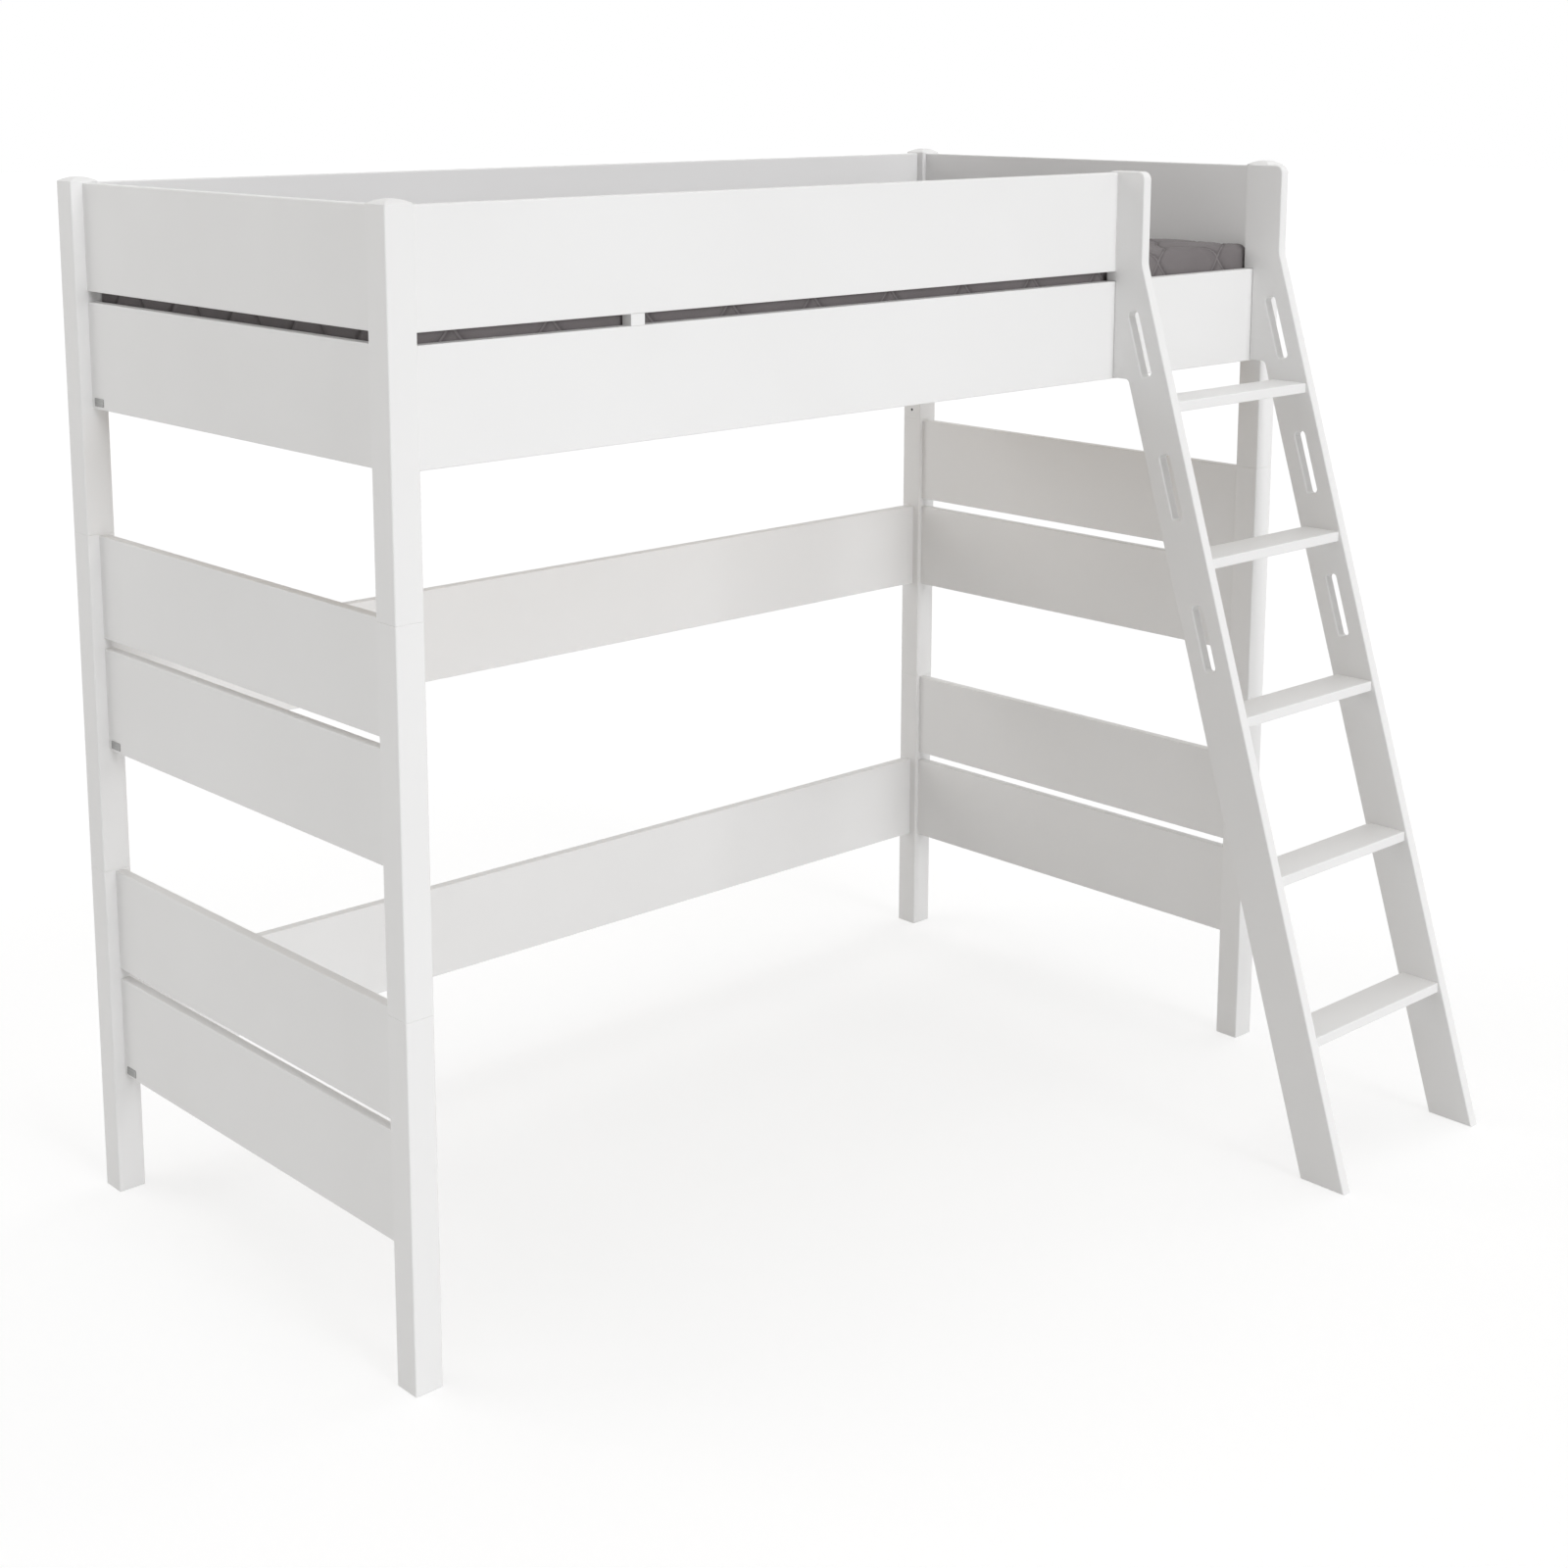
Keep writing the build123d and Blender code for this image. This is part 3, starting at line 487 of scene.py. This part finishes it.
def mattress_shape(x, y, z, half_x, half_y, half_z):
    """Moves places on a block to the mattress's outer form; also the way that each then faces."""
    x, y, inside, out_x, out_y = rounded_plan(x, y, half_x, half_y)

    # edges rolled over a quarter circle: the top one from the top on, the bottom one within the sides
    radius = MATTRESS_ROUND
    from_edge = half_z - np.abs(z)
    on_top = half_z - z < TINY
    turn = np.where(z > 0, 0.5 + from_edge / radius / 2, from_edge / radius)
    turn = np.clip(np.where(on_top, 0.5 - inside / radius / 2, turn), 0.0, 1.0)
    angle = turn * pi / 2
    rolled = turn < 1.0
    slide = np.where(on_top, np.minimum(inside, radius), 0.0) - radius * (1 - np.sin(angle))
    x = x + out_x * slide
    y = y + out_y * slide
    z = np.where(rolled, np.sign(z) * (half_z - radius * (1 - np.cos(angle))), z)
    upward = np.where(z > 0, np.cos(angle), 0.0)
    facing = np.stack([out_x * np.sin(angle), out_y * np.sin(angle), upward], axis=1)

    # a crowned top, and sides that draw in between the corners and towards the edges
    crown = np.clip(inside / (MATTRESS_CROWN_RUN + radius), 0.0, 1.0)
    crown = np.where(on_top, MATTRESS_CROWN * crown * crown * (3 - 2 * crown), 0.0)
    belly = MATTRESS_BULGE * (z / half_z) ** 2
    draw_x = (MATTRESS_DRAW * (1 - (y / half_y) ** 2) + belly) * x / half_x
    draw_y = (MATTRESS_DRAW * (1 - (x / half_x) ** 2) + belly) * y / half_y
    return np.stack([x - draw_x, y - draw_y, z + crown], axis=1), facing


def swollen(points, faces, held):
    """Places of the cover after a short cloth simulation: pressure fills it out, and its held places stay."""
    mesh = bpy.data.meshes.new("cover")
    mesh.from_pydata(points.tolist(), [], faces)
    piece = bpy.data.objects.new("cover", mesh)
    bpy.context.scene.collection.objects.link(piece)
    seams = piece.vertex_groups.new(name="sewn")
    seams.add(np.flatnonzero(held).tolist(), 1.0, "REPLACE")
    cloth = piece.modifiers.new("swell", "CLOTH")
    cloth.settings.quality = 4
    cloth.settings.mass = 0.3
    cloth.settings.tension_stiffness = 10.0
    cloth.settings.compression_stiffness = 10.0
    cloth.settings.shear_stiffness = 3.0
    cloth.settings.bending_stiffness = 0.3
    cloth.settings.shrink_min = -0.012
    cloth.settings.use_pressure = True
    cloth.settings.uniform_pressure_force = 4.0
    cloth.settings.effector_weights.gravity = 0.0
    cloth.settings.vertex_group_mass = seams.name
    cloth.collision_settings.use_collision = False
    for number in range(1, SWELL_FRAMES + 1):
        bpy.context.scene.frame_set(number)
    result = piece.evaluated_get(bpy.context.evaluated_depsgraph_get())
    places = np.zeros(3 * len(mesh.vertices))
    result.data.vertices.foreach_get("co", places)
    bpy.data.objects.remove(piece)
    bpy.data.meshes.remove(mesh)
    bpy.context.scene.frame_set(1)
    return places.reshape(-1, 3)


def quilt(points, facing, faces, gaps, lowest):
    """Swells the padding between the sewn lines, then draws the lines in as narrow grooves."""
    near_gap, other_gap = gaps
    line_gap = np.minimum(near_gap, other_gap)
    lifted = points[:, 2] > lowest + MATTRESS_ROUND
    moved = swollen(points, faces, (line_gap < HELD) | ~lifted) - points
    far = np.maximum(np.linalg.norm(moved, axis=1), TINY)
    points += moved * np.minimum(SWELL_MOST / far, 1.0)[:, None]
    groove = (1 - np.exp(-near_gap / GROOVE_SOFT)) * (1 - np.exp(-other_gap / GROOVE_SOFT))
    points += facing * (GROOVE_DEPTH * groove * lifted)[:, None]


def keep_off_posts(points, centre):
    """Presses the foam's corners in where the posts' inner edges stand; all four posts stand alike."""
    post_low, post_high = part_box("post_front_right_upper")
    past_x = np.abs(points[:, 0] - centre.x) - (post_low.x - centre.x - POST_CLEARANCE)
    past_y = np.abs(points[:, 1] - centre.y) - (centre.y - post_high.y - POST_CLEARANCE)
    pressed = (past_x > 0) & (past_y > 0)
    by_x = np.where(pressed & (past_x <= past_y), past_x, 0.0)
    by_y = np.where(pressed & (past_x > past_y), past_y, 0.0)
    points[:, 0] -= np.sign(points[:, 0] - centre.x) * by_x
    points[:, 1] -= np.sign(points[:, 1] - centre.y) * by_y


def dress_cover(mesh, points, flat, below):
    """Materials and a flat map: the sewn lines run on over the cover's sides, and its underside is plain."""
    lies_below = np.arange(len(mesh.polygons)) >= len(mesh.polygons) - len(below)
    mesh.polygons.foreach_set("use_smooth", ~lies_below)
    mesh.polygons.foreach_set("material_index", lies_below.astype(np.int32))
    mesh.materials.append(knitted_cover("mattress_cover", sewn=True))
    mesh.materials.append(knitted_cover("mattress_underside", sewn=False))
    corners = np.zeros(len(mesh.loops), dtype=np.int32)
    mesh.loops.foreach_get("vertex_index", corners)
    first_below = len(corners) - sum(len(face) for face in below)
    laid = flat[corners]
    laid[first_below:] = points[corners[first_below:], :2]
    mesh.uv_layers.new(name="cover").data.foreach_set("uv", laid.ravel())
    mesh.update()


def quilted_mattress():
    """Foam mattress in a quilted cover that runs over its rounded edges."""
    low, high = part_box("mattress")
    edge_top = high.z - MATTRESS_CROWN
    height = edge_top - low.z
    centre = Vector(((low.x + high.x) / 2, (low.y + high.y) / 2, (low.z + edge_top) / 2))
    halves = (high.x - centre.x, high.y - centre.y, height / 2)
    x, y, depth, flat, faces, below = folded_cover(low, high, centre, height)
    gaps = quilt_gaps(flat[:, 0], flat[:, 1])
    faces = split_along(faces, np.minimum(*gaps) < ON_LINE)
    points, facing = mattress_shape(x - centre.x, y - centre.y, height / 2 - depth, *halves)
    points -= facing * (SWELL_MOST + GROOVE_DEPTH)
    points += np.array(centre)
    quilt(points, facing, faces, gaps, low.z)
    keep_off_posts(points, centre)

    mesh = bpy.data.meshes.new("quilted_mattress")
    mesh.from_pydata(points.tolist(), [], faces + below)
    dress_cover(mesh, points, flat, below)
    piece = bpy.data.objects.new("quilted_mattress", mesh)
    bpy.context.scene.collection.objects.link(piece)
    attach(piece, "mattress")
    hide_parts("mattress")


def add_tube(points, faces, rings):
    """Adds a closed tube along +X through rings of points, each clockwise as seen from the tube's far end."""
    first = len(points)
    count = len(rings[0])
    for ring in rings:
        points.extend(ring)
    for start in range(first, first + (len(rings) - 1) * count, count):
        for here in range(count):
            there = (here + 1) % count
            faces.append([start + here, start + count + here, start + count + there, start + there])
    faces.append(list(range(first, first + count)))
    faces.append(list(reversed(range(len(points) - count, len(points)))))


def frame_piece(name, points, faces, material):
    """A mesh piece that rides on the bed's frame."""
    mesh = bpy.data.meshes.new(name)
    mesh.from_pydata(points, [], faces)
    mesh.polygons.foreach_set("use_smooth", [len(face) == 4 for face in faces])
    mesh.materials.append(material)
    piece = bpy.data.objects.new(name, mesh)
    bpy.context.scene.collection.objects.link(piece)
    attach(piece, "frame")
    return piece


def node_places(name, axis):
    """All places along one axis where a CAD node has a corner."""
    corners = frame["nodes"][name].data.vertices
    return np.unique([round(corner.co[axis], PLACE_DIGITS) for corner in corners])


def slat_edges():
    """Where each slat starts and where it ends along the bed."""
    places = node_places("slats", axis=0)
    breaks = np.flatnonzero(np.diff(places) > SLATS_APART)
    starts = np.concatenate([places[:1], places[breaks + 1]])
    ends = np.concatenate([places[breaks], places[-1:]])
    return starts, ends


def strap_line(starts, ends):
    """Stations along a strap under the slats: place, how far it hangs, and how many layers thick it is."""
    hang = {}
    for start, end in zip(starts, ends):
        hang[start] = 0.0
        hang[end] = 0.0
    for end, start in zip(ends[:-1], starts[1:]):
        for share in np.arange(1, STRAP_STEPS) / STRAP_STEPS:
            hang[end + (start - end) * share] = STRAP_SAG * np.sin(pi * share) ** 2
    first_hem = starts[0] + STRAP_HEM
    last_hem = ends[-1] - STRAP_HEM
    for x in (first_hem, first_hem + STRAP_FOLD, last_hem - STRAP_FOLD, last_hem):
        hang[x] = 0.0
    return [(x, hang[x], 1 if first_hem < x < last_hem else 2) for x in sorted(hang)]


def strap_rings(line, middle, half, top, thickness):
    """Sections of one strap, at the stations of its line."""
    rings = []
    for x, hang, layers in line:
        deep = thickness * layers
        rings.append([(x, middle + half * over, top - hang - deep * down) for over, down in STRAP_PROFILE])
    return rings


def staple_rings(x, y, underside):
    """Sections of one staple: its crown lies along X under a strap, and its ends turn up into it."""
    side = STAPLE_WIDTH / 2
    crown = STAPLE_HALF - STAPLE_BEND
    bends = [
        (-STAPLE_HALF, STAPLE_THICKNESS),
        (-crown, 0.0),
        (crown, 0.0),
        (STAPLE_HALF, STAPLE_THICKNESS),
    ]
    rings = []
    for along, up in bends:
        top = underside + STAPLE_SINK + up
        bottom = top - STAPLE_THICKNESS
        section = ((-side, top), (side, top), (side, bottom), (-side, bottom))
        rings.append([(x + along, y + across, z) for across, z in section])
    return rings


def slat_webbing(cloth, steel):
    """Two woven straps under the slats, hemmed at their ends, and the staples that hold them to each slat."""
    starts, ends = slat_edges()
    line = strap_line(starts, ends)
    low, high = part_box("slat_straps")
    sides = node_places("slat_straps", axis=1)
    strap_points = []
    strap_faces = []
    staple_points = []
    staple_faces = []
    for near, far in (sides[:2], sides[2:]):
        middle = (near + far) / 2
        rings = strap_rings(line, middle, (far - near) / 2, high.z, high.z - low.z)
        add_tube(strap_points, strap_faces, rings)
        for x in (starts + ends) / 2:
            for y in (middle - STAPLE_APART, middle + STAPLE_APART):
                add_tube(staple_points, staple_faces, staple_rings(x, y, low.z))
    straps = frame_piece("slat_webbing", strap_points, strap_faces, cloth)
    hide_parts("slat_straps")
    frame_piece("strap_staples", staple_points, staple_faces, steel)


def slot_materials():
    """One material for each of the record's slots that a rigid node or a strap takes its finish from."""
    return {
        "white_lacquer": lacquer(),
        "slat_wood": wood("slat_wood", SLAT_TONES, SLAT_GRAIN, board_width=SLAT_PITCH),
        "dowel_wood": wood("dowel_wood", DOWEL_TONES, DOWEL_GRAIN),
        "steel": metal("zinc_steel", STEEL_TONES, STEEL_GRAIN, roughness=0.30),
        "dark_steel": metal("blued_steel", DARK_STEEL_TONES, DARK_STEEL_GRAIN, roughness=0.38),
        "webbing": webbing(),
        "plate_grey": metal("brushed_plate", PLATE_TONES, PLATE_GRAIN, roughness=0.40),
    }


def finish_nodes(materials):
    """Gives every carried-over CAD node its material."""
    ledge = wood("ledge_wood", SLAT_TONES, LEDGE_GRAIN)
    slots = {row["node"]: row["material_slot"] for row in frame["record"]["subparts"]}
    for name, thing in frame["nodes"].items():
        if slots[name] in materials:
            material = ledge if name.startswith("slat_ledge") else materials[slots[name]]
            thing.data.materials.clear()
            thing.data.materials.append(material)


def white_rays(tree):
    """1 for rays that should meet plain white: straight from the camera, or by way of a gloss or a glass."""
    path = put(tree, "ShaderNodeLightPath").outputs
    seen = maths(tree, "MAXIMUM", path["Is Camera Ray"], path["Is Glossy Ray"])
    return maths(tree, "MAXIMUM", seen, path["Is Transmission Ray"])


def pale_floor():
    """Floor that lights the object as a pale one; the camera sees it white, less a share of its shadows."""
    material, tree, shader = start_material("pale_floor", Roughness=0.9, Specular_IOR_Level=0.1)
    inputs = {0: place(tree, (1.0, 1.0, 0.0))}
    away = put(tree, "ShaderNodeVectorMath", inputs, operation="LENGTH").outputs["Value"]
    share = span(tree, away, FLOOR_SHADOW, 0.0, start=FLOOR_NEAR, end=FLOOR_FAR, easing="SMOOTHSTEP")
    seen = white_rays(tree)

    # what the lamps and the world leave to be added where no shadow falls
    light = AMBIENT + sum(level * sin(radians(up)) for _, up, _, level, _ in LAMPS.values())
    added = maths(tree, "MULTIPLY_ADD", share, -FLOOR_COLOUR * light, 1.0)
    tree.links.new(maths(tree, "MULTIPLY", added, seen), shader.inputs["Emission Strength"])
    shown = maths(tree, "MULTIPLY_ADD", maths(tree, "SUBTRACT", share, 1.0), seen, 1.0)
    tree.links.new(tint(tree, shown, BLACK, (FLOOR_COLOUR,) * 3), shader.inputs["Base Color"])
    return material


def floor():
    """Wide level floor, which isn't part of the object."""
    half = FLOOR_HALF
    corners = [(-half, -half, 0), (half, -half, 0), (half, half, 0), (-half, half, 0)]
    mesh = bpy.data.meshes.new("floor")
    mesh.from_pydata(corners, [], [(0, 1, 2, 3)])
    mesh.materials.append(pale_floor())
    thing = bpy.data.objects.new("floor", mesh)
    thing.location.z = -FLOOR_DROP
    bpy.context.scene.collection.objects.link(thing)


def world():
    """Even light from all round, which the camera sees as plain white."""
    made = bpy.data.worlds.new("studio")
    made.use_nodes = True
    tree = made.node_tree
    background = tree.nodes["Background"].inputs
    seen = white_rays(tree)
    tree.links.new(tint(tree, seen, AMBIENT_TINT, WHITE), background["Color"])
    tree.links.new(span(tree, seen, AMBIENT, 1.0, start=0.0, end=1.0), background["Strength"])
    bpy.context.scene.world = made


def lights():
    """Broad soft lamps at a great distance, which light near and far pieces alike."""
    for name, (round_from_front, up, width, level, colour) in LAMPS.items():
        lamp = bpy.data.lights.new(name, "SUN")
        lamp.angle = radians(width)
        lamp.energy = level * pi
        lamp.color = colour
        thing = bpy.data.objects.new(name, lamp)
        thing.rotation_euler = (radians(90 - up), 0.0, -radians(round_from_front))
        bpy.context.scene.collection.objects.link(thing)


def camera():
    """Camera at the photograph's viewing angle."""
    data = bpy.data.cameras.new("camera")
    data.lens = CAMERA_LENS
    data.sensor_width = CAMERA_SENSOR
    data.shift_x, data.shift_y = CAMERA_SHIFT
    thing = bpy.data.objects.new("camera", data)
    thing.location = CAMERA_PLACE
    thing.rotation_euler = (radians(90 - CAMERA_PITCH), 0.0, -radians(CAMERA_YAW))
    bpy.context.scene.collection.objects.link(thing)
    bpy.context.scene.camera = thing


finishes = slot_materials()
finish_nodes(finishes)
slat_webbing(finishes["webbing"], finishes["steel"])
quilted_mattress()
floor()
world()
lights()
camera()
bpy.context.scene.view_settings.view_transform = "Standard"
